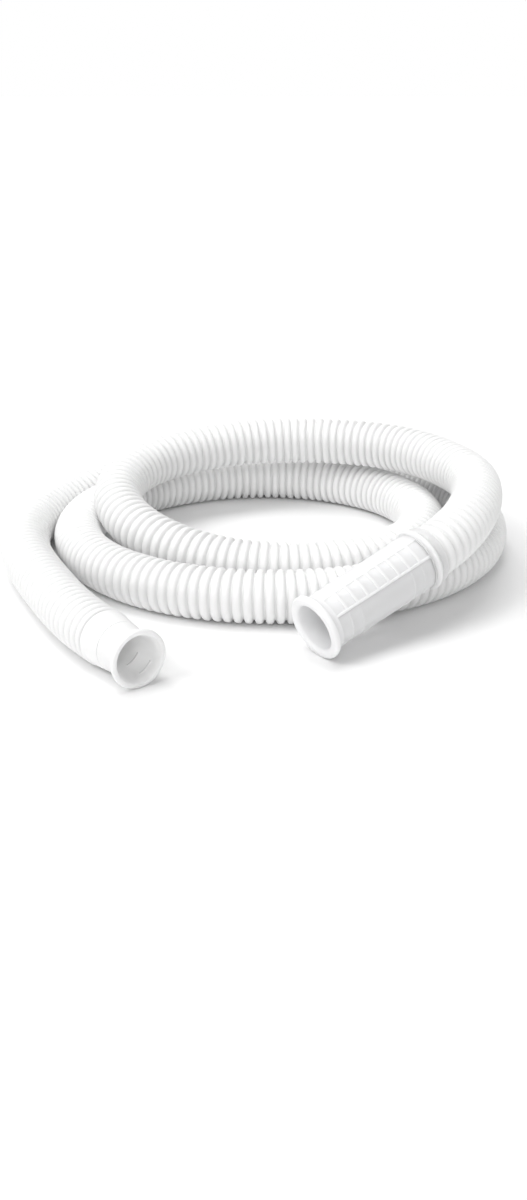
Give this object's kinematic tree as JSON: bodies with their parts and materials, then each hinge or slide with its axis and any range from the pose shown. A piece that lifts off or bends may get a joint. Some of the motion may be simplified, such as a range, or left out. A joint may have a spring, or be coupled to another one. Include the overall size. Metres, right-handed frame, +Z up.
{
  "type": "washing machine drain hose",
  "caption": "Loosely coiled corrugated drain hose with a short lipped pump cuff at one end and a long ribbed grip cuff at the other.",
  "frame": {"origin": "centre of the coiled hose's footprint, on the floor that it lies on", "axes": "+Z up, +Y from the two cuffs towards the far side of the coil, +X towards the side where the hose leaves the ribbed cuff"},
  "size_m": [0.2803, 0.3203, 0.0564],
  "materials": {
    "hose": "satin blow-moulded polypropylene",
    "grip_cuff": "satin injection-moulded plastic",
    "pump_cuff": "smooth soft moulded plastic"
  },
  "bodies": {
    "root": {"drain_hose": "hose", "standpipe_end_cuff": "grip_cuff", "pump_end_cuff": "pump_cuff"}
  },
  "joints": []
}
